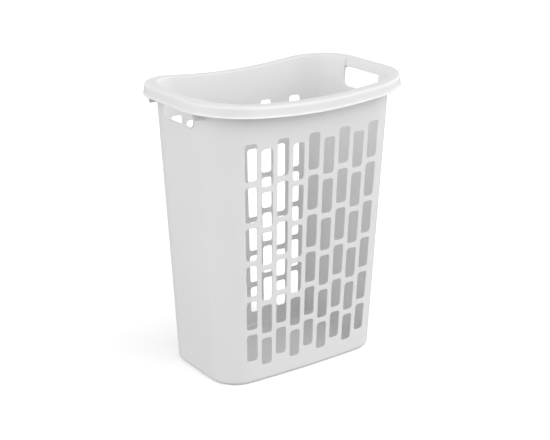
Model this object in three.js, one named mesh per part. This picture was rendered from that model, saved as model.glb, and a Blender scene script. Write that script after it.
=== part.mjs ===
// Open laundry hamper: one moulded body, described as its walls, corners, rim lengths, grips and base.
// Millimetres, +Z up, X along the long sides, origin on the ground under the centre.
import * as THREE from 'three';
import { TessellateModifier } from 'three/addons/modifiers/TessellateModifier.js';
import { mergeVertices } from 'three/addons/utils/BufferGeometryUtils.js';

// Outside of the wall at the ground and at the reference height: half length, half width,
// plan corner radius, outward bow of the long sides and outward bow of the ends.
const REF_HEIGHT = 576;
const GROUND = { a: 184.8, b: 105.1, r: 52.7, longBow: 7.5, endBow: 0.0 };
const TOP = { a: 213.8, b: 131.6, r: 74.5, longBow: 2.8, endBow: 2.5 };
const WALL = 2.2;
const GAP = 0.3;

// The rim's crest dips towards the middle of the long sides.
const SADDLE_DEPTH = 24.6;
const SADDLE_HALF_WAVE = 367.5;
const SKIRT_DROP = 21.4;

// The walls are split where the long sides and the ends meet the corners (fractions of a and b).
const LONG_SPLIT = 0.755;
const END_SPLIT = 0.5;

// Slots: nine staggered columns of six on each long side.
const COLUMNS = 9;
const ROWS = 6;
const COLUMN_PITCH = 0.1724;
const PITCH_TAPER = 0.0041;
const SLOT_WIDTH = 0.1218;
const FIRST_SLOT_BOTTOM = 48.8;
const FIRST_SLOT_HEIGHT = 55.8;
const SLOT_HEIGHT_STEP = 3.3;
const SLOT_BAR = 10.4;
const STAGGER = 14.2;
const SLOT_CORNER = 4.0;

// Hand holes in the ends, with a shallow collar round them.
const HOLE_HALF_WIDTH = 52.8;
const HOLE_BOTTOM = 508.8;
const HOLE_CORNER = 13;
const COLLAR_DEPTH = 2.5;
const GRIP_SETBACK = 5.0;
const COLLAR_WALL = 2.0;

// Gussets under the rim beside each grip.
const FRONT_GUSSET_Y = 82;
const BACK_GUSSET_Y = 76;
const GUSSET_REACH = 18.5;
const GUSSET_DROP = 35;
const GUSSET_THICKNESS = 2.0;

// Base.
const BASE_TOP = 12;
const FLOOR_BOTTOM = 4.0;
const FLOOR_TOP = 6.2;
const FLOOR_INSET = -27.3;

// Width of the flat sheet that the slotted walls are laid out on before they are wrapped.
const SHEET = 200;

const lerp = (p, q, t) => p + (q - p) * t;

const white = { color: 0xf1f1f1, roughness: 0.35, metalness: 0.0 };

function plan(z) {
  const t = z / REF_HEIGHT;
  const out = {};
  for (const key of Object.keys(GROUND)) {
    out[key] = lerp(GROUND[key], TOP[key], t);
  }
  return out;
}

// Height of the rim's crest above a point of the wall.
function crest(x) {
  return REF_HEIGHT - (SADDLE_DEPTH / 2) * (1 + Math.cos((Math.PI * x) / SADDLE_HALF_WAVE));
}

// Moves a point of the rounded rectangle out by the bow of the sides.
function bowed(p, offset, x, y, z) {
  const a = p.a + offset;
  const b = p.b + offset;
  const dx = p.endBow * Math.max(0, 1 - (y / b) ** 2) * (x / a);
  const dy = p.longBow * Math.max(0, 1 - (x / a) ** 2) * (y / b);
  return new THREE.Vector3(x + dx, y + dy, z);
}

// Point of the +Y long side at length x, offset outwards from the wall's outside.
function longSide(x, offset, z) {
  const p = plan(z);
  const beyond = Math.max(0, Math.abs(x) - (p.a - p.r));
  const y = p.b - p.r + Math.sqrt((p.r + offset) ** 2 - beyond ** 2);
  return bowed(p, offset, x, y, z);
}

// Point of the +X end at width y.
function endSide(y, offset, z) {
  const p = plan(z);
  const beyond = Math.max(0, Math.abs(y) - (p.b - p.r));
  const x = p.a - p.r + Math.sqrt((p.r + offset) ** 2 - beyond ** 2);
  return bowed(p, offset, x, y, z);
}

// Point of the +X +Y corner: u runs from the end side (y = yStart) to the long side (x = xStart).
function cornerSide(u, offset, z, xStart, yStart) {
  const p = plan(z);
  const radius = p.r + offset;
  const low = Math.asin((yStart - (p.b - p.r)) / radius);
  const high = Math.acos((xStart - (p.a - p.r)) / radius);
  const angle = lerp(low, high, u);
  const x = p.a - p.r + radius * Math.cos(angle);
  const y = p.b - p.r + radius * Math.sin(angle);
  return bowed(p, offset, x, y, z);
}

// Height at which a wall stops under the rim's inner leg. place(z) is the wall's point at height z.
function wallTop(place) {
  let z = REF_HEIGHT - SKIRT_DROP;
  for (let i = 0; i < 6; i += 1) {
    z = crest(place(z).x) - SKIRT_DROP - GAP;
  }
  return z;
}

// Wraps every vertex of a geometry by place(x, y, z) and returns one closed, outward-facing body.
function wrapped(geometry, place) {
  const flat = geometry.index ? geometry.toNonIndexed() : geometry;
  const source = flat.getAttribute('position');
  const target = new Float32Array(source.count * 3);
  for (let i = 0; i < source.count; i += 1) {
    const v = place(source.getX(i), source.getY(i), source.getZ(i));
    target.set([v.x, v.y, v.z], 3 * i);
  }
  if (signedVolume(target) < 0) {
    for (let i = 0; i < target.length; i += 9) {
      const second = target.slice(i + 3, i + 6);
      target.set(target.slice(i + 6, i + 9), i + 3);
      target.set(second, i + 6);
    }
  }
  const out = new THREE.BufferGeometry();
  out.setAttribute('position', new THREE.BufferAttribute(target, 3));
  const merged = mergeVertices(out, 1e-4);
  merged.computeVertexNormals();
  return merged;
}

function signedVolume(points) {
  const p = new THREE.Vector3();
  const q = new THREE.Vector3();
  const r = new THREE.Vector3();
  let volume = 0;
  for (let i = 0; i < points.length; i += 9) {
    p.fromArray(points, i);
    q.fromArray(points, i + 3);
    r.fromArray(points, i + 6);
    volume += p.dot(q.cross(r)) / 6;
  }
  return volume;
}

const hamper = new THREE.Group();
hamper.name = 'laundry_hamper';

function add(name, geometry, turned = false) {
  const mesh = new THREE.Mesh(geometry, new THREE.MeshStandardMaterial(white));
  mesh.name = name;
  mesh.rotation.z = turned ? Math.PI : 0;
  hamper.add(mesh);
}

// Slotted long walls, laid out flat with x in sheet units, then wrapped on to the +Y side.
function slotPath(centre, bottom, top) {
  const half = (SLOT_WIDTH * SHEET) / 2;
  const c = SLOT_CORNER;
  const left = centre - half;
  const right = centre + half;
  const path = new THREE.Path();
  path.moveTo(left + c, bottom);
  path.lineTo(right - c, bottom);
  path.lineTo(right, bottom + c);
  path.lineTo(right, top - c);
  path.lineTo(right - c, top);
  path.lineTo(left + c, top);
  path.lineTo(left, top - c);
  path.lineTo(left, bottom + c);
  path.closePath();
  return path;
}

function slots() {
  const out = [];
  for (let column = 0; column < COLUMNS; column += 1) {
    let bottom = FIRST_SLOT_BOTTOM - (column % 2 === 1 ? STAGGER : 0);
    for (let row = 0; row < ROWS; row += 1) {
      const height = FIRST_SLOT_HEIGHT + SLOT_HEIGHT_STEP * row;
      const pitch = COLUMN_PITCH - (PITCH_TAPER * (bottom + height / 2)) / REF_HEIGHT;
      const centre = (column - (COLUMNS - 1) / 2) * pitch * SHEET;
      out.push(slotPath(centre, bottom, bottom + height));
      bottom += height + SLOT_BAR;
    }
  }
  return out;
}

function longWall() {
  const edge = LONG_SPLIT * SHEET - GAP / 2;
  const steps = 18;
  const outline = [];
  for (let i = 0; i <= steps; i += 1) {
    outline.push(new THREE.Vector2(lerp(-edge, edge, i / steps), BASE_TOP + GAP));
  }
  for (let i = steps; i >= 0; i -= 1) {
    const s = lerp(-edge, edge, i / steps);
    const top = wallTop((z) => longSide((s / SHEET) * plan(z).a, 0, z));
    outline.push(new THREE.Vector2(s, top));
  }
  const shape = new THREE.Shape(outline);
  shape.holes = slots();
  const sheet = new THREE.ExtrudeGeometry(shape, { depth: WALL, bevelEnabled: false });
  const fine = new TessellateModifier(140, 4).modify(sheet);
  return wrapped(fine, (s, z, w) => longSide((s / SHEET) * plan(z).a, w - WALL, z));
}

// Solid end walls with an open-topped notch for the hand hole; x in the sheet is the width y / b.
function endWall() {
  const half = END_SPLIT * SHEET - GAP / 2;
  const yOf = (s, z) => (s / SHEET) * plan(z).b;
  const sOf = (y, z) => (y / plan(z).b) * SHEET;
  const topOf = (s) => wallTop((z) => endSide(yOf(s, z), 0, z));
  const shape = new THREE.Shape();
  shape.moveTo(-half, BASE_TOP + GAP);
  for (let i = 1; i <= 4; i += 1) {
    shape.lineTo(lerp(-half, half, i / 4), BASE_TOP + GAP);
  }
  shape.lineTo(half, HOLE_BOTTOM / 2);
  shape.lineTo(half, topOf(half));
  const top = topOf(half);
  shape.lineTo(sOf(HOLE_HALF_WIDTH, top), top);
  for (let i = 0; i <= 4; i += 1) {
    const angle = (Math.PI / 2) * (i / 4);
    const y = HOLE_HALF_WIDTH - HOLE_CORNER * (1 - Math.cos(angle));
    const z = HOLE_BOTTOM + HOLE_CORNER * (1 - Math.sin(angle));
    shape.lineTo(sOf(y, z), z);
  }
  for (let i = 4; i >= 0; i -= 1) {
    const angle = (Math.PI / 2) * (i / 4);
    const y = HOLE_HALF_WIDTH - HOLE_CORNER * (1 - Math.cos(angle));
    const z = HOLE_BOTTOM + HOLE_CORNER * (1 - Math.sin(angle));
    shape.lineTo(sOf(-y, z), z);
  }
  shape.lineTo(sOf(-HOLE_HALF_WIDTH, top), top);
  shape.lineTo(-half, top);
  shape.lineTo(-half, HOLE_BOTTOM / 2);
  const sheet = new THREE.ExtrudeGeometry(shape, { depth: WALL, bevelEnabled: false });
  const fine = new TessellateModifier(260, 4).modify(sheet);
  return wrapped(fine, (s, z, w) => endSide(yOf(s, z), w - WALL, z));
}

// Corner panels: a fine box bent round the corner.
function cornerPanel(sx, sy) {
  const box = new THREE.BoxGeometry(1, 1, 1, 8, 3, 1);
  return wrapped(box, (x, y, w) => {
    const u = x + 0.5;
    const offset = (w - 0.5) * WALL;
    const place = (z) => {
      const p = plan(z);
      const xStart = LONG_SPLIT * p.a + GAP / 2;
      const yStart = END_SPLIT * p.b + GAP / 2;
      return cornerSide(u, offset, z, xStart, yStart);
    };
    const z = lerp(BASE_TOP + GAP, wallTop(place), y + 0.5);
    const v = place(z);
    return new THREE.Vector3(sx * v.x, sy * v.y, v.z);
  });
}

// Rim: section with the outward offset as x and the height below the crest as y.
function rimSection(leg, legDrop) {
  return new THREE.Shape([
    new THREE.Vector2(leg - WALL, -legDrop),
    new THREE.Vector2(leg, -legDrop),
    new THREE.Vector2(leg, -WALL),
    new THREE.Vector2(12.0, -WALL),
    new THREE.Vector2(15.8, -3.6),
    new THREE.Vector2(17.4, -6.2),
    new THREE.Vector2(20.0, -18.4),
    new THREE.Vector2(22.7, -SKIRT_DROP),
    new THREE.Vector2(25.0, -SKIRT_DROP),
    new THREE.Vector2(25.0, -20.4),
    new THREE.Vector2(22.2, -18.0),
    new THREE.Vector2(19.8, -5.6),
    new THREE.Vector2(18.4, -2.6),
    new THREE.Vector2(15.8, -0.7),
    new THREE.Vector2(11.0, 0),
    new THREE.Vector2(leg - WALL + 1.4, 0),
    new THREE.Vector2(leg - WALL, -1.4),
  ]);
}

// Sweeps the rim section along stations t = 0..1. place(t, offset, z) is the point on the wall line.
function rimLength(section, steps, place) {
  const bar = new THREE.ExtrudeGeometry(section, { depth: 1, steps, bevelEnabled: false });
  return wrapped(bar, (offset, below, t) => {
    const top = crest(place(t, 0, REF_HEIGHT).x);
    return place(t, offset, top + below);
  });
}

function longRim() {
  return rimLength(rimSection(0, SKIRT_DROP), 12, (t, offset, z) => {
    const edge = LONG_SPLIT * TOP.a - GAP / 2;
    return longSide(lerp(-edge, edge, t), offset, z);
  });
}

function cornerRim(sx, sy) {
  return rimLength(rimSection(0, SKIRT_DROP), 11, (t, offset, z) => {
    const p = plan(z);
    const xStart = LONG_SPLIT * TOP.a + GAP / 2;
    const tangent = p.b - p.r;
    const bend = 1 / 11;
    const v = t <= bend
      ? endSide(lerp(HOLE_HALF_WIDTH + GAP, tangent, t / bend), offset, z)
      : cornerSide((t - bend) / (1 - bend), offset, z, xStart, tangent);
    return new THREE.Vector3(sx * v.x, sy * v.y, v.z);
  });
}

function grip() {
  return rimLength(rimSection(GRIP_SETBACK, SKIRT_DROP - 2.5), 4, (t, offset, z) => {
    const edge = HOLE_HALF_WIDTH;
    return endSide(lerp(-edge, edge, t), offset, z);
  });
}

// Collar: a U-shaped strip standing out from the end wall round the hand hole.
function collar() {
  const y0 = HOLE_HALF_WIDTH + GAP;
  const top = crest(TOP.a) - WALL - GAP;
  const ring = (grow, upward) => {
    const points = [];
    const radius = HOLE_CORNER + grow;
    for (let i = 0; i <= 4; i += 1) {
      const angle = (Math.PI / 2) * (upward ? 1 - i / 4 : i / 4);
      const y = y0 + grow - radius * (1 - Math.cos(angle));
      const z = HOLE_BOTTOM - GAP - grow + radius * (1 - Math.sin(angle));
      points.push(new THREE.Vector2(y, z));
    }
    return points;
  };
  const mirror = (points) => points.map((p) => new THREE.Vector2(-p.x, p.y)).reverse();
  const outer = ring(COLLAR_WALL, true);
  const inner = ring(0, false);
  const shape = new THREE.Shape([
    ...mirror(outer),
    ...outer,
    new THREE.Vector2(y0 + COLLAR_WALL, top),
    new THREE.Vector2(y0, top),
    ...inner,
    ...mirror(inner),
    new THREE.Vector2(-y0, top),
    new THREE.Vector2(-y0 - COLLAR_WALL, top),
  ]);
  const strip = new THREE.ExtrudeGeometry(shape, { depth: COLLAR_DEPTH, bevelEnabled: false });
  return wrapped(strip, (y, z, w) => endSide(y, GAP + w, z));
}

// Gusset: an upright plate in the rim's channel, square to Y.
function gusset(sx, sy) {
  const shape = new THREE.Shape([
    new THREE.Vector2(0, -GUSSET_DROP),
    new THREE.Vector2(GUSSET_REACH, -GUSSET_DROP),
    new THREE.Vector2(GUSSET_REACH, -20.0),
    new THREE.Vector2(14.0, -6.4),
    new THREE.Vector2(12.0, -3.9),
    new THREE.Vector2(0, -2.9),
  ]);
  const plate = new THREE.ExtrudeGeometry(shape, { depth: GUSSET_THICKNESS, bevelEnabled: false });
  const middle = sy > 0 ? BACK_GUSSET_Y : FRONT_GUSSET_Y;
  const inboard = middle - GUSSET_THICKNESS / 2;
  return wrapped(plate, (offset, below, w) => {
    const z = crest(endSide(middle, 0, REF_HEIGHT).x) + below;
    const x = endSide(inboard, 0, z).x + GAP + offset;
    return new THREE.Vector3(sx * x, sy * (inboard + w), z);
  });
}

// Foot ring: the rounded bottom edge, the strip it stands on and the step up to the floor.
function footRing() {
  const section = [
    [0, BASE_TOP],
    [-0.6, 5.0],
    [-2.6, 1.6],
    [-7.0, 0],
    [-22.0, 0],
    [-23.8, FLOOR_BOTTOM],
    [-27.0, FLOOR_BOTTOM],
    [-27.0, FLOOR_TOP],
    [-22.3, FLOOR_TOP],
    [-20.5, 2.2],
    [-7.6, 2.2],
    [-4.3, 3.4],
    [-2.8, 6.2],
    [-WALL, BASE_TOP],
    [0, BASE_TOP],
  ];
  const radius = 100;
  const profile = section.map(([offset, z]) => new THREE.Vector2(radius + offset, z));
  const ring = new THREE.LatheGeometry(profile, 48);
  return wrapped(ring, (x, z, y) => {
    const offset = Math.hypot(x, y) - radius;
    return aroundBase(Math.atan2(y, x), offset, z);
  });
}

// Point of the outline in the direction of an angle that runs evenly round corners and sides.
function aroundBase(angle, offset, z) {
  const p = plan(z);
  const sx = Math.cos(angle) < 0 ? -1 : 1;
  const sy = Math.sin(angle) < 0 ? -1 : 1;
  const turn = Math.atan2(Math.abs(Math.sin(angle)), Math.abs(Math.cos(angle))) / (Math.PI / 2);
  const endShare = 2 / 14;
  const longShare = 4 / 14;
  let v;
  if (turn < endShare) {
    v = endSide((p.b - p.r) * (turn / endShare), offset, z);
  } else if (turn > 1 - longShare) {
    v = longSide((p.a - p.r) * ((1 - turn) / longShare), offset, z);
  } else {
    const u = (turn - endShare) / (1 - endShare - longShare);
    v = cornerSide(u, offset, z, p.a - p.r, p.b - p.r);
  }
  return new THREE.Vector3(sx * v.x, sy * v.y, v.z);
}

function floorPanel() {
  const points = [];
  const steps = 48;
  for (let i = 0; i < steps; i += 1) {
    const v = aroundBase((2 * Math.PI * i) / steps, FLOOR_INSET, FLOOR_BOTTOM);
    points.push(new THREE.Vector2(v.x, v.y));
  }
  const slab = new THREE.ExtrudeGeometry(new THREE.Shape(points), {
    depth: FLOOR_TOP - FLOOR_BOTTOM,
    bevelEnabled: false,
  });
  return wrapped(slab, (x, y, w) => new THREE.Vector3(x, y, FLOOR_BOTTOM + w));
}

add('floor_panel', floorPanel());
add('foot_ring', footRing());
add('back_wall', longWall());
add('front_wall', longWall(), true);
add('right_end_wall', endWall());
add('left_end_wall', endWall(), true);
add('back_rim', longRim());
add('front_rim', longRim(), true);
add('right_grip', grip());
add('left_grip', grip(), true);
add('right_hand_hole_collar', collar());
add('left_hand_hole_collar', collar(), true);
for (const [name, sx, sy] of [
  ['back_right', 1, 1],
  ['back_left', -1, 1],
  ['front_left', -1, -1],
  ['front_right', 1, -1],
]) {
  add(`${name}_corner`, cornerPanel(sx, sy));
  add(`${name}_rim`, cornerRim(sx, sy));
  add(`${name}_gusset`, gusset(sx, sy));
}

export default hamper;
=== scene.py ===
import math

import bpy
import numpy as np
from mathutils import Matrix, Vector
from mathutils.geometry import delaunay_2d_cdt


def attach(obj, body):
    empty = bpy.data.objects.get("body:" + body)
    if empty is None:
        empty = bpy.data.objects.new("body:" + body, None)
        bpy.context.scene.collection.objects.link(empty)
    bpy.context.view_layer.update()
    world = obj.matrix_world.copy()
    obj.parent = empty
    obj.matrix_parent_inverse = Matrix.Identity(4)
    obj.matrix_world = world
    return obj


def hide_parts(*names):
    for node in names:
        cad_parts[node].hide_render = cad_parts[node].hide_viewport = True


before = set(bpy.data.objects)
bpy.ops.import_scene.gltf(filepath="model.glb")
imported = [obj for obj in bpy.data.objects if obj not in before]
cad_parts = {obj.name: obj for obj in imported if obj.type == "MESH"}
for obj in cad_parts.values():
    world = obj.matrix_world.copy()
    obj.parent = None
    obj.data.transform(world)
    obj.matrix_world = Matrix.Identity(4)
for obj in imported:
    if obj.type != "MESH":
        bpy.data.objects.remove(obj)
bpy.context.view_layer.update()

# ---------------------------------------------------------------- shape, in millimetres
# Outside of the wall at the ground and at the reference height: half length, half width,
# plan corner radius, bow of the long sides, bow of the ends. They repeat the CAD's constants.
REF = 576.0
GROUND = np.array([184.8, 105.1, 52.7, 7.5, 0.0])
TOP = np.array([213.8, 131.6, 74.5, 2.8, 2.5])
WALL = 2.2
SADDLE_DEPTH, SADDLE_HALF_WAVE = 24.6, 367.5

# How far the rim's legs hang below its crest, where the wall is divided into pieces (parts of its
# half length and half width), the top of the foot ring, and the half width of a flattened wall.
LEG_DROP = 21.4
LONG_SPLIT, END_SPLIT = 0.755, 0.5
BASE_TOP = 12.0
SHEET = 200.0

# Slots: pitch and width are parts of the half length, the rest are millimetres. Every other
# column hangs lower by the stagger, and all of the back wall's slots by the back drop.
COLUMNS, ROWS = 9, 6
COLUMN_PITCH, PITCH_TAPER, SLOT_WIDTH = 0.1724, 0.0041, 0.1218
SLOT_START, SLOT_HEIGHT, SLOT_STEP, SLOT_BAR, STAGGER = 48.8, 55.8, 3.3, 10.4, 14.2
SLOT_RADIUS, SLOT_EDGE = 6.2, 0.5
BACK_DROP = 2.3
ARC_STEPS = 8
SLOT_CLEAR = 2.5

# Hand holes, collars and grips: half width, bottom edge and corner radius of a hole, how far its
# collar reaches past it on the inside and outside face, and how deep the grip is set back.
HOLE_Y, HOLE_Z, HOLE_R = 52.8, 508.8, 13.0
COLLAR_IN, COLLAR_OUT = 1.8, 3.2
RECESS = 3.0
GRIP_LIFT = 2.5
COLLAR_DEPTH, COLLAR_WALL, COLLAR_EDGE = 2.2, 2.0, 0.7
FRONT_GUSSET_Y, BACK_GUSSET_Y = 82.0, 76.0
GUSSET_REACH, GUSSET_DROP = 18.5, 35.0
GUSSET_HALF, GUSSET_BEVEL = 1.0, 0.35

# The plastic: shade and roughness from least to most, and its fine bumps, in metres.
SHADE = (0.790, 0.815)
ROUGHNESS = (0.30, 0.40)
REFRACTION = 1.49
BUMP_HEIGHT, BUMP_STRENGTH, WAVE_SHARE = 0.00006, 0.25, 6.0

# Shared rows and stations, so that neighbouring pieces meet point for point.
ROWS_UP = np.linspace(0, 1, 31)
LONG_ST = np.linspace(-LONG_SPLIT, LONG_SPLIT, 65)
CORNER_ST = np.linspace(0, 1, 25)
FOOT_ST = np.linspace(-END_SPLIT, END_SPLIT, 15)


def plan(z):
    t = np.asarray(z, float) / REF
    return [g + (h - g) * t for g, h in zip(GROUND, TOP)]


def crest(x):
    return REF - SADDLE_DEPTH / 2 * (1 + np.cos(np.pi * x / SADDLE_HALF_WAVE))


def bowed(offset, x, y, z):
    a, b, _, long_bow, end_bow = plan(z)
    a, b = a + offset, b + offset
    dx = end_bow * np.clip(1 - (y / b) ** 2, 0, 1) * x / a
    dy = long_bow * np.clip(1 - (x / a) ** 2, 0, 1) * y / b
    return np.stack(np.broadcast_arrays(x + dx, y + dy, z), -1)


def long_side(s, offset, z):
    """Point of the +Y long side; s is x over the half length there."""
    a, b, r, _, _ = plan(z)
    x = s * a
    beyond = np.maximum(0, np.abs(x) - (a - r))
    return bowed(offset, x, b - r + np.sqrt((r + offset) ** 2 - beyond ** 2), z)


def end_side(q, offset, z):
    """Point of the +X end; q is y over the half width there."""
    a, b, r, _, _ = plan(z)
    y = q * b
    beyond = np.maximum(0, np.abs(y) - (b - r))
    return bowed(offset, a - r + np.sqrt((r + offset) ** 2 - beyond ** 2), y, z)


def corner_side(u, offset, z):
    """Point of the +X +Y corner; u runs from the end side (0) to the long side (1)."""
    a, b, r, _, _ = plan(z)
    low = np.arcsin((END_SPLIT * b - (b - r)) / (r + offset))
    high = np.arccos((LONG_SPLIT * a - (a - r)) / (r + offset))
    t = low + (high - low) * u
    return bowed(offset, a - r + (r + offset) * np.cos(t), b - r + (r + offset) * np.sin(t), z)


def wall_top(side, v):
    """Height at which the wall at station v passes into the rim's inner leg."""
    z = np.full(np.shape(v), REF - LEG_DROP)
    for _ in range(8):
        z = crest(side(v, 0.0, z)[..., 0]) - LEG_DROP
    return z


def unit(v):
    return v / np.maximum(np.linalg.norm(v, axis=-1, keepdims=True), 1e-12)


def axes(side, v, offset, z):
    """Unit vectors along the station, up the wall, and out of it."""
    e = 1e-4
    along = unit(side(v + e, offset, z) - side(v - e, offset, z))
    up = unit(side(v, offset, z + 0.05) - side(v, offset, z - 0.05))
    out = unit(np.cross(along, up))
    turn = np.sign(np.sum(out[..., :2] * side(v, offset, z)[..., :2], -1))[..., None]
    return along, up, out * turn


# ---------------------------------------------------------------- mesh building
class Shell:
    """Collects patches with their own normals, then welds them into one closed mesh."""

    def __init__(self):
        self.points, self.normals, self.faces, self.count = [], [], [], 0

    def soup(self, points, normals):
        points = np.asarray(points, float).reshape(-1, 3)
        normals = unit(np.broadcast_to(np.asarray(normals, float).reshape(-1, 3), points.shape))
        self.points.append(points)
        self.normals.append(normals)
        start = self.count
        self.count += len(points)
        return start

    def tris(self, points, normals, faces):
        start = self.soup(points, normals)
        self.faces += [tuple(start + i for i in f) for f in faces]

    def grid(self, points, normals, wrap=False):
        m, n = points.shape[:2]
        start = self.soup(points, normals)
        ids = start + np.arange(m * n).reshape(m, n)
        if wrap:
            ids = np.vstack([ids, ids[:1]])
        for i in range(ids.shape[0] - 1):
            for j in range(n - 1):
                self.faces.append((ids[i, j], ids[i + 1, j], ids[i + 1, j + 1], ids[i, j + 1]))

    def strip(self, one, two, outward):
        """A hidden joint face between two edges, facing outward."""
        outward = np.broadcast_to(np.asarray(outward, float), one.shape)
        self.grid(np.stack([one, two]), np.stack([outward, outward]))

    def lid(self, ring, outward):
        start = self.soup(ring, outward)
        self.faces.append(tuple(range(start, start + len(ring))))

    def build(self, name, nodes, mirror=(1, 1)):
        flip = np.array([mirror[0], mirror[1], 1.0])
        points = np.vstack(self.points) * flip
        normals = np.vstack(self.normals) * flip
        keys = np.round(points * 2e3 + 0.137).astype(np.int64)
        _, first, weld = np.unique(keys, axis=0, return_index=True, return_inverse=True)
        weld = weld.reshape(-1)
        faces, corner_normals = [], []
        for face in self.faces:
            face = list(face)
            ids = [int(weld[i]) for i in face]
            keep = [k for k in range(len(ids)) if ids[k] != ids[k - 1]]
            face, ids = [face[k] for k in keep], [ids[k] for k in keep]
            if len(set(ids)) < 3 or len(set(ids)) != len(ids):
                continue
            p = points[first[ids]]
            area = np.zeros(3)
            for k in range(1, len(p) - 1):
                area += np.cross(p[k] - p[0], p[k + 1] - p[0])
            if area @ normals[face].sum(0) < 0:
                face, ids = face[::-1], ids[::-1]
            faces.append(ids)
            corner_normals += [tuple(v) for v in normals[face]]
        mesh = bpy.data.meshes.new(name)
        mesh.from_pydata([tuple(v) for v in points[first] * 0.001], [], faces)
        mesh.polygons.foreach_set("use_smooth", [True] * len(mesh.polygons))
        mesh.normals_split_custom_set(corner_normals)
        mesh.materials.append(PLASTIC)
        piece = bpy.data.objects.new(name, mesh)
        bpy.context.scene.collection.objects.link(piece)
        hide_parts(*nodes)
        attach(piece, "root")
        return piece


def rounded(corners):
    """A polyline through (x, y, radius) corners with each corner turned to an arc."""
    out = [np.array(corners[0][:2], float)]
    for k in range(1, len(corners) - 1):
        p, c, n = (np.array(corners[i][:2], float) for i in (k - 1, k, k + 1))
        d0, d1 = unit(p - c), unit(n - c)
        half = math.acos(max(-1, min(1, float(d0 @ d1)))) / 2
        radius = corners[k][2]
        reach = radius / math.tan(half)
        centre = c + unit(d0 + d1) * radius / math.sin(half)
        start, end = c + d0 * reach - centre, c + d1 * reach - centre
        sweep = math.pi - 2 * half
        turn = math.copysign(1, start[0] * end[1] - start[1] * end[0])
        count = max(3, int(math.ceil(sweep / math.radians(14))))
        for i in range(count + 1):
            t = turn * sweep * i / count
            co, si = math.cos(t), math.sin(t)
            out.append(centre + np.array([co * start[0] - si * start[1], si * start[0] + co * start[1]]))
    out.append(np.array(corners[-1][:2], float))
    return np.array(out)


def path_normals(path):
    """Unit normals on the left of an open path."""
    d = np.gradient(path, axis=0)
    seg = np.diff(path, axis=0)
    d[1:-1] = unit(seg[1:]) + unit(seg[:-1])
    d = unit(d)
    return np.stack([-d[:, 1], d[:, 0]], -1)


def grid_normals(points, wrap=False):
    """Smooth normals of a grid of points from its own tangents."""
    along = np.gradient(points, axis=0)
    if wrap:
        along = (np.roll(points, -1, 0) - np.roll(points, 1, 0)) / 2
    across = np.zeros_like(points)
    seg = np.diff(points, axis=1)
    across[:, 0], across[:, -1] = unit(seg[:, 0]), unit(seg[:, -1])
    across[:, 1:-1] = unit(seg[:, 1:]) + unit(seg[:, :-1])
    return unit(np.cross(along, across))


def triangulate(border, holes, extra):
    """Triangles of the flat region inside the border and outside the convex holes."""
    points, edges, owner = [], [], []
    for number, loop in enumerate([border] + holes):
        start = len(points)
        points += [tuple(p) for p in loop]
        owner += [number] * len(loop)
        edges += [(start + i, start + (i + 1) % len(loop)) for i in range(len(loop))]
    points += [tuple(p) for p in extra]
    owner += [0] * len(extra)
    made, _, faces, origin, _, _ = delaunay_2d_cdt([Vector(p) for p in points], edges, [], 1, 1e-7)
    if len(made) != len(points):
        raise RuntimeError("points merged")
    index = np.array([o[0] for o in origin])
    faces = index[np.array(faces)]
    owners = np.array(owner)[faces]
    in_hole = (owners[:, 0] > 0) & (owners[:, 0] == owners[:, 1]) & (owners[:, 0] == owners[:, 2])
    return np.array(points), faces[~in_hole]


# ---------------------------------------------------------------- material
def plastic():
    mat = bpy.data.materials.new("white_polypropylene")
    mat.use_nodes = True
    nodes, links = mat.node_tree.nodes, mat.node_tree.links
    nodes.clear()
    out = nodes.new("ShaderNodeOutputMaterial")
    bsdf = nodes.new("ShaderNodeBsdfPrincipled")
    links.new(bsdf.outputs[0], out.inputs[0])
    bsdf.inputs["IOR"].default_value = REFRACTION
    bsdf.inputs["Metallic"].default_value = 0.0
    where = nodes.new("ShaderNodeTexCoord")

    def noise(scale, detail, rough=0.5):
        node = nodes.new("ShaderNodeTexNoise")
        node.inputs["Scale"].default_value = scale
        node.inputs["Detail"].default_value = detail
        node.inputs["Roughness"].default_value = rough
        links.new(where.outputs["Object"], node.inputs["Vector"])
        return node

    def remap(source, low, high, to_low, to_high):
        node = nodes.new("ShaderNodeMapRange")
        node.inputs["From Min"].default_value = low
        node.inputs["From Max"].default_value = high
        node.inputs["To Min"].default_value = to_low
        node.inputs["To Max"].default_value = to_high
        links.new(source, node.inputs["Value"])
        return node.outputs["Result"]

    # Colour: milky white with faint cloudiness from the melt flow.
    cloud = noise(5.0, 3.0)
    ramp = nodes.new("ShaderNodeValToRGB")
    ramp.color_ramp.elements[0].position = 0.30
    ramp.color_ramp.elements[0].color = (SHADE[0], SHADE[0], SHADE[0], 1)
    ramp.color_ramp.elements[1].position = 0.72
    ramp.color_ramp.elements[1].color = (SHADE[1], SHADE[1], SHADE[1], 1)
    links.new(cloud.outputs["Fac"], ramp.inputs["Fac"])
    links.new(ramp.outputs["Color"], bsdf.inputs["Base Color"])

    # Satin skin: broad changes of gloss over a fine mould texture.
    patch = noise(26.0, 4.0, 0.6)
    links.new(remap(patch.outputs["Fac"], 0.3, 0.7, *ROUGHNESS), bsdf.inputs["Roughness"])
    skin = noise(420.0, 3.0, 0.55)
    wave = noise(38.0, 1.0, 0.4)
    mix = nodes.new("ShaderNodeMath")
    mix.operation = "MULTIPLY_ADD"
    mix.inputs[1].default_value = WAVE_SHARE
    links.new(wave.outputs["Fac"], mix.inputs[0])
    links.new(skin.outputs["Fac"], mix.inputs[2])
    bump = nodes.new("ShaderNodeBump")
    bump.inputs["Strength"].default_value = BUMP_STRENGTH
    bump.inputs["Distance"].default_value = BUMP_HEIGHT
    links.new(mix.outputs["Value"], bump.inputs["Height"])
    links.new(bump.outputs["Normal"], bsdf.inputs["Normal"])
    return mat


PLASTIC = plastic()


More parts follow.
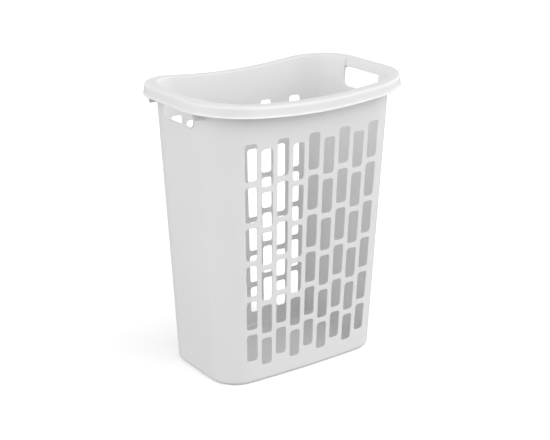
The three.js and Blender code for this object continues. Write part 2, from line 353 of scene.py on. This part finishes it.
# ---------------------------------------------------------------- slotted long walls
def slot_outline(centre, low, high, grow):
    """Rounded rectangle and its unit normals pointing into the slot."""
    half = SLOT_WIDTH * SHEET / 2 + grow
    low, high, radius = low - grow, high + grow, SLOT_RADIUS + grow
    points, normals = [], []
    corners = [(1, 1, 0), (-1, 1, 90), (-1, -1, 180), (1, -1, 270)]
    for sx, sz, start in corners:
        cx = centre + sx * (half - radius)
        cz = (high - radius) if sz > 0 else (low + radius)
        for i in range(ARC_STEPS + 1):
            t = math.radians(start + 90 * i / ARC_STEPS)
            points.append((cx + radius * math.cos(t), cz + radius * math.sin(t)))
            normals.append((-math.cos(t), -math.sin(t)))
        if start in (90, 270):
            x = points[-1][0]
            ends = (points[-1][1], (low + radius) if start == 90 else (high - radius))
            for f in (0.2, 0.4, 0.6, 0.8):
                points.append((x, ends[0] + (ends[1] - ends[0]) * f))
                normals.append((1.0 if start == 90 else -1.0, 0.0))
    return np.array(points), np.array(normals)


def slot_rows(column, drop):
    """Lower and upper edge of each slot in a column."""
    low = SLOT_START - drop - (STAGGER if column % 2 else 0)
    for row in range(ROWS):
        height = SLOT_HEIGHT + SLOT_STEP * row
        yield low, low + height
        low += height + SLOT_BAR


def long_wall(drop):
    """The +Y long wall with its slots lowered by drop."""
    shell = Shell()
    top = wall_top(long_side, LONG_ST)
    edge_top = top[0]
    side_z = BASE_TOP + ROWS_UP * (edge_top - BASE_TOP)
    low = [(s * SHEET, BASE_TOP) for s in LONG_ST]
    right = [(LONG_SPLIT * SHEET, z) for z in side_z[1:-1]]
    high = [(s * SHEET, z) for s, z in zip(LONG_ST, top)][::-1]
    left = [(-LONG_SPLIT * SHEET, z) for z in side_z[1:-1]][::-1]
    border = np.array(low + right + high + left)
    slots = []
    for column in range(COLUMNS):
        for a, b in slot_rows(column, drop):
            pitch = COLUMN_PITCH - PITCH_TAPER * (a + b) / 2 / REF
            slots.append(((column - (COLUMNS - 1) / 2) * pitch * SHEET, a, b))
    holes = [slot_outline(c, a, b, SLOT_EDGE)[0] for c, a, b in slots]
    xs, zs = np.meshgrid(np.linspace(-LONG_SPLIT * SHEET, LONG_SPLIT * SHEET, 37)[1:-1],
                         np.linspace(BASE_TOP, edge_top, 60)[1:-1])
    free = zs < np.interp(xs / SHEET, LONG_ST, top) - 5
    for c, a, b in slots:
        beside = np.abs(xs - c) > SLOT_WIDTH * SHEET / 2 + SLOT_CLEAR
        free &= beside | (zs < a - SLOT_CLEAR) | (zs > b + SLOT_CLEAR)
    extra = np.stack([xs[free], zs[free]], -1)
    flat, faces = triangulate(border, holes, extra)
    s, z = flat[:, 0] / SHEET, flat[:, 1]
    for offset, sign in ((0.0, 1), (-WALL, -1)):
        _, _, out = axes(long_side, s, offset, z)
        shell.tris(long_side(s, offset, z), sign * out, faces)
    arc = np.radians([0, 22.5, 45, 67.5, 90])
    rows = [(SLOT_EDGE * (1 - math.sin(t)), -SLOT_EDGE * (1 - math.cos(t)), math.cos(t), math.sin(t))
            for t in arc]
    rows += [(grow, -WALL - depth, -face, side) for grow, depth, face, side in rows[::-1]]
    for c, a, b in slots:
        points, normals = [], []
        for grow, depth, face, side_part in rows:
            flat_loop, into = slot_outline(c, a, b, grow)
            s, z = flat_loop[:, 0] / SHEET, flat_loop[:, 1]
            along, up, out = axes(long_side, s, depth, z)
            points.append(long_side(s, depth, z))
            normals.append(face * out + side_part * (into[:, :1] * along + into[:, 1:] * up))
        points = np.swapaxes(np.array(points), 0, 1)
        normals = np.swapaxes(np.array(normals), 0, 1)
        shell.grid(points, normals, wrap=True)
    for line, outward in ((np.array(low), (0, 0, -1)), (np.array(high), (0, 0, 1))):
        s, z = line[:, 0] / SHEET, line[:, 1]
        shell.strip(long_side(s, 0.0, z), long_side(s, -WALL, z), outward)
    for sign in (-1, 1):
        s = np.full(len(side_z), sign * LONG_SPLIT)
        shell.strip(long_side(s, 0.0, side_z), long_side(s, -WALL, side_z), (sign, 0, 0))
    return shell


# ---------------------------------------------------------------- corner walls
def corner_wall():
    """The +X +Y corner of the wall."""
    shell = Shell()
    top = wall_top(corner_side, CORNER_ST)
    u = np.repeat(CORNER_ST[:, None], len(ROWS_UP), 1)
    z = BASE_TOP + ROWS_UP[None, :] * (top[:, None] - BASE_TOP)
    faces = {}
    for offset, sign in ((0.0, 1), (-WALL, -1)):
        _, _, out = axes(corner_side, u, offset, z)
        faces[sign] = corner_side(u, offset, z)
        shell.grid(faces[sign], sign * out)
    shell.strip(faces[1][:, 0], faces[-1][:, 0], (0, 0, -1))
    shell.strip(faces[1][:, -1], faces[-1][:, -1], (0, 0, 1))
    shell.strip(faces[1][0], faces[-1][0], (0, -1, 0))
    shell.strip(faces[1][-1], faces[-1][-1], (-1, 0, 0))
    return shell


# ---------------------------------------------------------------- grip stations
SEAM_Z = float(wall_top(end_side, np.array(0.41)))
END_B = float(plan(SEAM_Z)[1])


def grip_half():
    """Stations of the +Y half of a grip, from its seam to its middle, one row each.

    A row holds the station's y, then y, offset and normal (along y, outward) of the inner leg,
    y and offset of the outer face, and how far the station is into the raised grip.
    """
    rows = []
    seam = END_SPLIT * END_B
    for y in np.linspace(seam, 58.5, 4):
        rows.append((y, y, -WALL, 0, 1, y, 0.0, 0.0))
    t = np.radians(np.linspace(0, 90, 7))
    small, large = COLLAR_IN, COLLAR_OUT
    bend = [(HOLE_Y + small - small * math.sin(a), small - WALL - small * math.cos(a),
             math.sin(a), math.cos(a)) for a in t]
    bend += [(HOLE_Y - large + large * math.cos(a), RECESS - large + large * math.sin(a),
              math.cos(a), math.sin(a)) for a in t]
    for k, (y, o, ny, no) in enumerate(bend):
        f = k / (len(bend) - 1)
        lift = max(0.0, (k - 7) / 6)
        y_out = 56.0 - 8.6 * f
        o_out = (RECESS + WALL) * f * f * (3 - 2 * f)
        rows.append((57.0 - 10.0 * f, y, o, ny, no, y_out, o_out, lift))
    for y in np.linspace(44.5, 0, 13):
        rows.append((y, y, RECESS, 0, 1, y, RECESS + WALL, 1.0))
    return np.array(rows)


STATION_INNER_Y, STATION_INNER_OFFSET = 1, 2
STATION_OUTER_Y, STATION_OUTER_OFFSET, STATION_LIFT = 5, 6, 7
HALF = grip_half()
MIRRORED = HALF[::-1][1:] * np.array([-1, -1, 1, -1, 1, -1, 1, 1])
GRIP_ST = np.vstack([HALF, MIRRORED])[::-1]


# ---------------------------------------------------------------- solid end walls
def u_path(grow, top):
    """The hand hole's outline grown by an amount: points, and unit vectors away from the hole."""
    points, away = [], []
    radius = HOLE_R + grow
    for z in np.linspace(top, HOLE_Z + HOLE_R, 5)[:-1]:
        points.append((HOLE_Y + grow, z))
        away.append((1, 0))
    for t in np.radians(np.linspace(0, 90, 11)):
        points.append((HOLE_Y - HOLE_R + radius * math.cos(t), HOLE_Z + HOLE_R - radius * math.sin(t)))
        away.append((math.cos(t), -math.sin(t)))
    for y in np.linspace(HOLE_Y - HOLE_R, 0, 5)[1:]:
        points.append((y, HOLE_Z - grow))
        away.append((0, -1))
    points += [(-y, z) for y, z in points[:-1][::-1]]
    away += [(-y, z) for y, z in away[:-1][::-1]]
    return np.array(points), np.array(away)


def end_wall():
    """The +X end wall with its notch for the hand hole."""
    shell = Shell()
    sides = {}
    for offset, sign, grow, column_y, column_offset in (
        (0.0, 1, COLLAR_OUT, STATION_OUTER_Y, STATION_OUTER_OFFSET),
        (-WALL, -1, COLLAR_IN, STATION_INNER_Y, STATION_INNER_OFFSET),
    ):
        ys = GRIP_ST[:, column_y]
        on_wall = np.abs(GRIP_ST[:, column_offset] - offset) < 1e-9
        q = ys[on_wall & (np.abs(ys) >= HOLE_Y + grow - 1e-6)] / END_B
        q_left, q_right = q[q < 0], q[q > 0]
        notch, _ = u_path(grow, SEAM_Z)
        notch = notch[np.abs(notch[:, 1] - SEAM_Z) > 1e-6]
        notch_q = notch[:, 0] / plan(notch[:, 1])[1]
        side_z = BASE_TOP + ROWS_UP * (wall_top(end_side, np.array(END_SPLIT)) - BASE_TOP)
        low = [(v * SHEET, BASE_TOP) for v in FOOT_ST]
        right = [(END_SPLIT * SHEET, z) for z in side_z[1:-1]]
        high_right = [(v * SHEET, z) for v, z in zip(q_right, wall_top(end_side, q_right))][::-1]
        gap = [(v * SHEET, z) for v, z in zip(notch_q, notch[:, 1])]
        high_left = [(v * SHEET, z) for v, z in zip(q_left, wall_top(end_side, q_left))][::-1]
        left = [(-END_SPLIT * SHEET, z) for z in side_z[1:-1]][::-1]
        border = np.array(low + right + high_right + gap + high_left + left)
        extra = []
        for x in np.linspace(-END_SPLIT * SHEET, END_SPLIT * SHEET, 13)[1:-1]:
            for z in np.linspace(BASE_TOP, HOLE_Z, 40)[1:-2]:
                extra.append((x, z))
        flat, faces = triangulate(border, [], extra)
        q, z = flat[:, 0] / SHEET, flat[:, 1]
        _, _, out = axes(end_side, q, offset, z)
        shell.tris(end_side(q, offset, z), sign * out, faces)
        for part, line in (
            ("low", low),
            ("right", [low[-1]] + right + [high_right[0]]),
            ("left", [high_left[-1]] + left + [low[0]]),
            ("high_right", high_right),
            ("high_left", high_left),
            ("notch", [high_right[-1]] + gap + [high_left[0]]),
        ):
            line = np.array(line)
            sides[part, sign] = end_side(line[:, 0] / SHEET, offset, line[:, 1])
    away = u_path(COLLAR_OUT, SEAM_Z)[1]
    into_hole = -np.column_stack([np.zeros(len(away)), away])
    joints = {"low": (0, 0, -1), "right": (0, 1, 0), "left": (0, -1, 0), "notch": into_hole}
    for part, outward in joints.items():
        shell.strip(sides[part, 1], sides[part, -1], outward)
    for part in ("high_right", "high_left"):
        one, two = sides[part, 1], sides[part, -1]
        shell.lid(np.vstack([one, two[::-1]]), (0, 0, 1))
    return shell


# ---------------------------------------------------------------- hand hole collars
def collar():
    """The raised edge round the lower three sides of the +X hand hole."""
    shell = Shell()
    profile = rounded([
        (COLLAR_IN, -WALL, 0), (0, -WALL, COLLAR_IN - 1e-4), (0, COLLAR_DEPTH, COLLAR_EDGE),
        (COLLAR_WALL, COLLAR_DEPTH, COLLAR_EDGE), (COLLAR_WALL, 0, COLLAR_OUT - COLLAR_WALL - 1e-4),
        (COLLAR_OUT, 0, 0),
    ])
    flat_normals = path_normals(profile)
    if flat_normals[len(profile) // 3][0] > 0:
        flat_normals = -flat_normals
    flat_normals[0], flat_normals[-1] = (0, -1), (0, 1)
    points, normals = [], []
    for (grow, offset), (n_away, n_out) in zip(profile, flat_normals):
        line, away = u_path(grow, SEAM_Z)
        q, z = line[:, 0] / plan(line[:, 1])[1], line[:, 1]
        along, up, out = axes(end_side, q, offset, z)
        points.append(end_side(q, offset, z))
        normals.append(n_away * (away[:, :1] * along + away[:, 1:] * up) + n_out * out)
    points, normals = np.array(points), np.array(normals)
    shell.grid(points, normals)
    shell.strip(points[0], points[-1], np.column_stack([np.zeros(len(away)), away]))
    shell.lid(points[:, 0], (0, 0, 1))
    shell.lid(points[:, -1], (0, 0, 1))
    # A post at each end of the collar, up into the hollow of the rim.
    for sign in (-1, 1):
        ys = np.array([HOLE_Y + 0.3, HOLE_Y + COLLAR_IN]) * sign
        zs = np.array([SEAM_Z - 0.5, crest(213.5) - 2.0])
        os = np.array([0.8, COLLAR_DEPTH - 0.2])
        box = np.array([[[end_side(y / END_B, o, z) for o in os] for y in ys] for z in zs])
        for axis in range(3):
            for end in (0, 1):
                quad = np.take(box, end, axis)
                centre = box.reshape(-1, 3).mean(0)
                shell.grid(quad, quad.reshape(-1, 3).mean(0) - centre)
    return shell


# ---------------------------------------------------------------- rim
UPPER = rounded([(-WALL, -LEG_DROP, 0), (-WALL, 0, 1.4), (7.5, 0.45, 30), (19.8, -0.3, 5.8),
                 (21.8, -18.8, 3.0), (24.7, -20.6, 0.5), (24.4, -LEG_DROP, 0.5), (22.4, -LEG_DROP, 0.6),
                 (19.5, -18.5, 3.0), (17.2, -2.6, 4.0), (0.0, -2.4, 1.5), (0.0, -LEG_DROP, 0)])
CREST_ROUND = 1.4
END_FLARE, FLARE_START, FLARE_RUN = 1.8, 8.0, 8.0
SECTION_STEP = 3.2
BEAD_SAG = 1.1

# The grip's set-back fades out across the crown by this offset, and under the crown between these
# two, below the crown's own depth.
CROWN_FADED = 11.0
UNDER_FADE_START, UNDER_FADED, UNDER_DEPTH = 1.5, 10.0, 4.0


def flared(offset, around):
    """The skirt stands out a little further at the ends; around is 1 there and 0 on the long sides."""
    w = np.clip((offset - FLARE_START) / FLARE_RUN, 0, 1)
    return offset + END_FLARE * around * w * w * (3 - 2 * w)


def stretched(below, start, leg):
    """Moves heights under -start in proportion, so that the leg ends at leg and not at -LEG_DROP."""
    return below if below > -start else -start + (below + start) * (leg + start) / (start - LEG_DROP)


def section_rows(upper):
    """Divides the section's long stretches into steps."""
    out = [upper[0]]
    for p, q in zip(upper[:-1], upper[1:]):
        count = max(1, int(np.ceil(np.linalg.norm(q - p) / SECTION_STEP)))
        out += [p + (q - p) * k / count for k in range(1, count + 1)]
    return np.array(out)


SECTION = section_rows(UPPER)


def rim_loop():
    """The whole rim in eight blocks, each a grid of stations by section points, anticlockwise from above."""
    lip = int(np.argmax(SECTION[:, 0]))

    def grip(sx):
        block = []
        for y_c, y_in, o_in, n_y, n_o, y_out, o_out, lift in GRIP_ST:
            top = float(wall_top(end_side, np.array(y_c / END_B))) + LEG_DROP
            leg = -LEG_DROP + GRIP_LIFT * lift
            column = []
            for k, (o, below) in enumerate(SECTION):
                y, off, z = y_c, o, below
                on_leg = o <= -WALL + 1e-6 or (o <= -WALL + CREST_ROUND + 1e-6 and below < -0.01)
                if k < lip and on_leg:
                    y = y_in + (o + WALL) * n_y
                    off = o_in + (o + WALL) * n_o
                    z = stretched(below, CREST_ROUND, leg)
                elif k < lip and o < CROWN_FADED:
                    w = (o + WALL - CREST_ROUND) / (CROWN_FADED + WALL - CREST_ROUND)
                    y = (y_in + CREST_ROUND * n_y) * (1 - w) + y_c * w
                    off = (o_in + CREST_ROUND * n_o) * (1 - w) + CROWN_FADED * w
                elif k >= lip and o < UNDER_FADED:
                    w = max(0.0, (o - UNDER_FADE_START) / (UNDER_FADED - UNDER_FADE_START))
                    y = y_out * (1 - w) + y_c * w
                    off = o + o_out * (1 - w)
                    z = stretched(below, UNDER_DEPTH, leg)
                column.append((y / END_B, off, top + z))
            column = np.array(column)
            p = end_side(column[:, 0], flared(column[:, 1], 1.0), column[:, 2])
            block.append(p * np.array([sx, sx, 1]))
        return np.array(block)

    def plain(side, stations, sx, sy):
        block = []
        for v in stations:
            top = float(wall_top(side, np.array(v))) + LEG_DROP
            around = math.cos(math.pi / 2 * v) ** 2 if side is corner_side else 0.0
            p = side(np.full(len(SECTION), v), flared(SECTION[:, 0], around), top + SECTION[:, 1])
            block.append(p * np.array([sx, sy, 1]))
        return np.array(block)

    return [
        ("right_grip", grip(1)),
        ("back_right_rim", plain(corner_side, CORNER_ST, 1, 1)),
        ("back_rim", plain(long_side, LONG_ST[::-1], 1, 1)),
        ("back_left_rim", plain(corner_side, CORNER_ST[::-1], -1, 1)),
        ("left_grip", grip(-1)),
        ("front_left_rim", plain(corner_side, CORNER_ST, -1, -1)),
        ("front_rim", plain(long_side, LONG_ST, 1, -1)),
        ("front_right_rim", plain(corner_side, CORNER_ST[::-1], 1, -1)),
    ]


def build_rims():
    """Each block of the rim as its own closed piece, with normals shared across the seams."""
    blocks = rim_loop()
    joined = np.concatenate([block[:-1] for _, block in blocks])
    normals = grid_normals(joined, wrap=True)
    crown = int(np.argmax(SECTION[:, 1]))
    if normals[0, crown, 2] < 0:
        normals = -normals
    start = 0
    for name, block in blocks:
        count = len(block)
        ids = (start + np.arange(count)) % len(joined)
        start += count - 1
        points, smooth = joined[ids], normals[ids]
        shell = Shell()
        shell.grid(points, smooth)
        foot_in, foot_out = points[:, 0], points[:, -1]
        if "grip" in name:
            lift = GRIP_ST[:, STATION_LIFT]
            bead = []
            for t in np.radians(np.linspace(0, 180, 9)):
                w = (1 - math.cos(t)) / 2
                row = foot_in * (1 - w) + foot_out * w
                row[:, 2] -= BEAD_SAG * math.sin(t) * lift
                bead.append(row)
            bead = np.swapaxes(np.array(bead), 0, 1)
            edge = bead - ((foot_in + foot_out) / 2)[:, None]
            weight = lift[:, None, None]
            away = unit(unit(edge) * weight + np.array([0, 0, -1.0]) * (1 - weight))
            shell.grid(bead, away)
        else:
            shell.strip(foot_in, foot_out, (0, 0, -1))
        shell.lid(points[0], points[0].mean(0) - points[1].mean(0))
        shell.lid(points[-1], points[-1].mean(0) - points[-2].mean(0))
        shell.build(name + "_moulding", [name])


# ---------------------------------------------------------------- base
FOOT_OUT = rounded([(0, BASE_TOP, 0), (0, 0, 7.6), (-22.0, 0, 0.8), (-23.8, 4.0, 0.8), (-27.0, 4.0, 0)])
FOOT_IN = rounded([(-27.0, 6.2, 0), (-22.0, 6.2, 1.2), (-20.3, 2.2, 1.5), (-WALL, 2.2, 5.6),
                   (-WALL, BASE_TOP, 0)])


def base_stations():
    out = []
    for side, stations, sx, sy in (
        (end_side, FOOT_ST, 1, 1),
        (corner_side, CORNER_ST, 1, 1),
        (long_side, LONG_ST[::-1], 1, 1),
        (corner_side, CORNER_ST[::-1], -1, 1),
        (end_side, FOOT_ST, -1, -1),
        (corner_side, CORNER_ST, -1, -1),
        (long_side, LONG_ST, 1, -1),
        (corner_side, CORNER_ST[::-1], 1, -1),
    ):
        out += [(side, v, sx, sy) for v in stations[:-1]]
    return out


def base_row(offset, z):
    return np.array([side(np.array(v), offset, z) * np.array([sx, sy, 1])
                     for side, v, sx, sy in base_stations()])


def closed(ring):
    return np.vstack([ring, ring[:1]])


def build_base():
    shell = Shell()
    ends = []
    for path in (FOOT_OUT, FOOT_IN):
        points = np.swapaxes(np.array([base_row(o, z) for o, z in path]), 0, 1)
        normals = grid_normals(points, wrap=True)
        shell.grid(points, orient(points, normals, path), wrap=True)
        ends += [points[:, 0], points[:, -1]]
    top_out, floor_low, floor_high, top_in = ends
    away = closed(unit(floor_low * np.array([1, 1, 0])))
    shell.strip(closed(top_out), closed(top_in), (0, 0, 1))
    shell.strip(closed(floor_low), closed(floor_high), -away)
    shell.build("foot_ring_moulding", ["foot_ring"])
    shell = Shell()
    shell.lid(floor_high, (0, 0, 1))
    shell.lid(floor_low, (0, 0, -1))
    shell.strip(closed(floor_low), closed(floor_high), away)
    shell.build("floor_panel_moulding", ["floor_panel"])


def orient(points, normals, path):
    """Turns a swept surface's normals to the side its path keeps free."""
    want = path_normals(path)
    if path is FOOT_OUT:
        want = -want if want[0][0] < 0 else want
    k = len(path) // 2
    outward = unit(points[0, 0] * np.array([1, 1, 0]))
    guess = want[k][0] * outward + want[k][1] * np.array([0, 0, 1.0])
    return normals if normals[0, k] @ guess > 0 else -normals


# ---------------------------------------------------------------- gussets
def gusset(at):
    """The rib under the +X +Y part of the rim, upright and square to Y, at that y."""
    outline = rounded([(-0.3, -20, 0), (-0.3, -GUSSET_DROP, 0.1), (GUSSET_REACH, -GUSSET_DROP, 2.0),
                       (GUSSET_REACH + 2.6, -19.5, 1.0), (17.6, -3.0, 3.5), (-0.3, -1.6, 0.1),
                       (-0.3, -20, 0)])[:-1]
    z_top = float(crest(end_side(np.array(at / END_B), 0.0, REF)[0]))
    shell = Shell()
    flat = GUSSET_HALF - GUSSET_BEVEL
    layers = ((-GUSSET_HALF, GUSSET_BEVEL), (-flat, 0.0), (flat, 0.0), (GUSSET_HALF, GUSSET_BEVEL))
    rings = []
    centre = outline.mean(0)
    for across, inset in layers:
        ring = outline + unit(centre - outline) * inset
        z = z_top + ring[:, 1]
        y = at + across
        x = np.array([end_side(np.array(y / plan(h)[1]), 0.0, h)[0] for h in z]) + ring[:, 0]
        rings.append(np.stack([x, np.full(len(x), y), z], -1))
    rings = np.array(rings)
    middle = rings.mean((0, 1))
    for k in range(3):
        pair = np.swapaxes(rings[k:k + 2], 0, 1)
        shell.grid(pair, pair - middle, wrap=True)
    shell.lid(rings[0], (0, -1, 0))
    shell.lid(rings[-1], (0, 1, 0))
    return shell


long_wall(BACK_DROP).build("back_wall_moulding", ["back_wall"])
long_wall(0.0).build("front_wall_moulding", ["front_wall"], (1, -1))
END, COLLAR, CORNER = end_wall(), collar(), corner_wall()
GUSSETS = {"back": gusset(BACK_GUSSET_Y), "front": gusset(FRONT_GUSSET_Y)}
for side, sx in (("right", 1), ("left", -1)):
    END.build(side + "_end_wall_moulding", [side + "_end_wall"], (sx, 1))
    COLLAR.build(side + "_hand_hole_collar_moulding", [side + "_hand_hole_collar"], (sx, 1))
    for depth, sy in (("back", 1), ("front", -1)):
        corner = depth + "_" + side
        CORNER.build(corner + "_corner_moulding", [corner + "_corner"], (sx, sy))
        GUSSETS[depth].build(corner + "_gusset_moulding", [corner + "_gusset"], (sx, sy))
build_rims()
build_base()

# ---------------------------------------------------------------- stage, light and camera
# The floor's reflectance for bounced light and to the camera, its glow, and its half size in metres.
FLOOR_BOUNCE, FLOOR_SHOWN, FLOOR_GLOW, FLOOR_HALF = 0.30, 1.24, 0.147, 8.0
# Direction and strength of each soft light, how sharply it fades round its direction, and how
# bright the surround is behind the object.
PANELS = (
    ((0.7, -0.7, 0.15), 1.884),
    ((1.0, 0.0, 0.15), 1.415),
    ((-1.0, 0.0, 0.15), 2.737),
    ((0.0, 1.0, 0.15), 1.349),
    ((0.0, -0.7, 0.7), 1.186),
    ((0.5, -0.5, 0.7), 0.136),
)
PANEL_FALLOFF, BACKDROP = 4.0, 1.2
# Millimetres, then metres.
SENSOR, LENS = 36.0, 83.52
CAMERA_PLACE, CAMERA_AIM = Vector((-1.3723, -1.9337, 1.1195)), Vector((0.0016, -0.0011, 0.2762))

scene = bpy.context.scene
scene.view_settings.view_transform = "Standard"
scene.view_settings.look = "None"


def stage_floor():
    """A floor that shows white to the camera, with a contact shadow, but throws little light back."""
    mesh = bpy.data.meshes.new("floor")
    corners = [(sx * FLOOR_HALF, sy * FLOOR_HALF, 0) for sx, sy in ((-1, -1), (1, -1), (1, 1), (-1, 1))]
    mesh.from_pydata(corners, [], [(0, 1, 2, 3)])
    mat = bpy.data.materials.new("pale_floor")
    mat.use_nodes = True
    nodes, links = mat.node_tree.nodes, mat.node_tree.links
    nodes.clear()
    out = nodes.new("ShaderNodeOutputMaterial")
    choose = nodes.new("ShaderNodeMixShader")
    path = nodes.new("ShaderNodeLightPath")
    dim = nodes.new("ShaderNodeBsdfDiffuse")
    shown = nodes.new("ShaderNodeBsdfDiffuse")
    glow = nodes.new("ShaderNodeEmission")
    dim.inputs["Color"].default_value = (FLOOR_BOUNCE, FLOOR_BOUNCE, FLOOR_BOUNCE, 1)
    shown.inputs["Color"].default_value = (FLOOR_SHOWN, FLOOR_SHOWN, FLOOR_SHOWN, 1)
    glow.inputs["Strength"].default_value = FLOOR_GLOW
    lit = nodes.new("ShaderNodeAddShader")
    links.new(dim.outputs[0], lit.inputs[0])
    links.new(glow.outputs[0], lit.inputs[1])
    links.new(path.outputs["Is Camera Ray"], choose.inputs[0])
    links.new(lit.outputs[0], choose.inputs[1])
    links.new(shown.outputs[0], choose.inputs[2])
    links.new(choose.outputs[0], out.inputs[0])
    mesh.materials.append(mat)
    floor = bpy.data.objects.new("floor", mesh)
    scene.collection.objects.link(floor)


def studio():
    """Soft light from big panels all round, as smooth lobes of a white surround."""
    world = bpy.data.worlds.new("studio")
    scene.world = world
    world.use_nodes = True
    nodes, links = world.node_tree.nodes, world.node_tree.links
    background = nodes["Background"]
    background.inputs["Color"].default_value = (1, 1, 1, 1)
    where = nodes.new("ShaderNodeTexCoord")

    def math_node(operation, first, second):
        node = nodes.new("ShaderNodeMath")
        node.operation = operation
        for socket, value in zip(node.inputs, (first, second)):
            if isinstance(value, (int, float)):
                socket.default_value = value
            else:
                links.new(value, socket)
        return node.outputs[0]

    total = 0.0
    for direction, strength in PANELS:
        dot = nodes.new("ShaderNodeVectorMath")
        dot.operation = "DOT_PRODUCT"
        dot.inputs[1].default_value = Vector(direction).normalized()
        links.new(where.outputs["Generated"], dot.inputs[0])
        lobe = math_node("POWER", math_node("MAXIMUM", dot.outputs["Value"], 0.0), PANEL_FALLOFF)
        total = math_node("ADD", math_node("MULTIPLY", lobe, strength), total)
    path = nodes.new("ShaderNodeLightPath")
    behind = math_node("MULTIPLY", path.outputs["Is Camera Ray"], BACKDROP)
    links.new(math_node("MAXIMUM", total, behind), background.inputs["Strength"])


stage_floor()
studio()

camera = bpy.data.objects.new("camera", bpy.data.cameras.new("camera"))
camera.data.sensor_width = SENSOR
camera.data.lens = LENS
camera.location = CAMERA_PLACE
camera.rotation_mode = "QUATERNION"
camera.rotation_quaternion = (CAMERA_AIM - CAMERA_PLACE).to_track_quat("-Z", "Y")
camera.data.clip_end = 50.0
scene.collection.objects.link(camera)
scene.camera = camera
